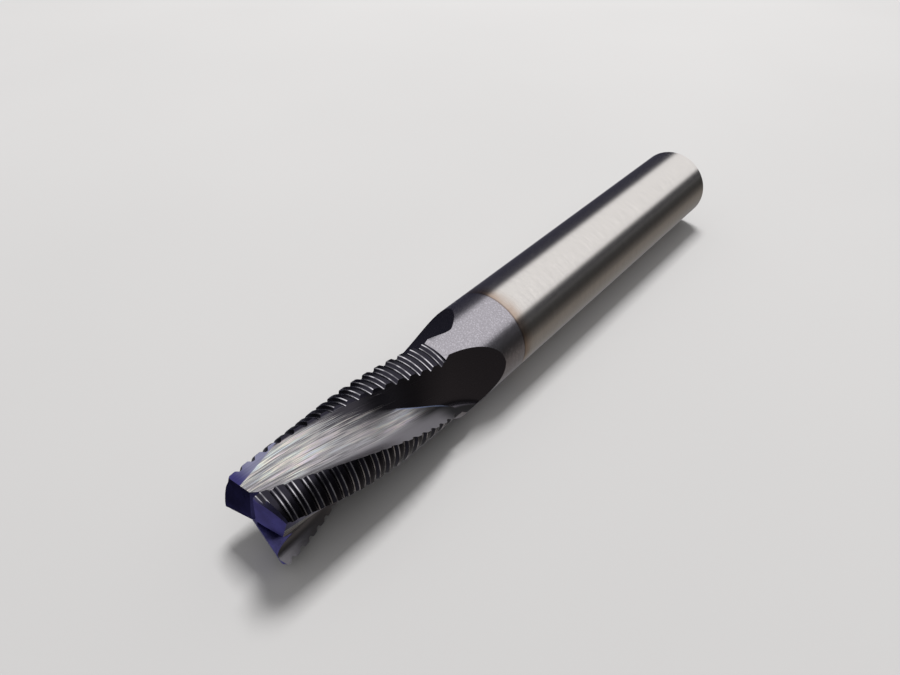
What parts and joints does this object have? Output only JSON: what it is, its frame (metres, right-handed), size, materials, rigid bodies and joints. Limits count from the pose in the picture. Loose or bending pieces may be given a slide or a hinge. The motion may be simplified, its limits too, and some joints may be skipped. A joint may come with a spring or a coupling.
{
  "type": "roughing end mill",
  "caption": "Solid roughing end mill with a plain round shank, helical flutes and serrated cutting lands, standing on its shank end.",
  "frame": {"origin": "centre of the shank's flat end, on which the tool stands", "axes": "+Z along the tool axis from the shank end to the cutting tip; +X points to the first tooth's corner at the tip"},
  "size_m": [0.008, 0.008, 0.063],
  "materials": {
    "endmill": "ground metal: bare polished shank, thin dark coating on the head"
  },
  "bodies": {
    "root": {"endmill": "endmill"}
  },
  "joints": []
}
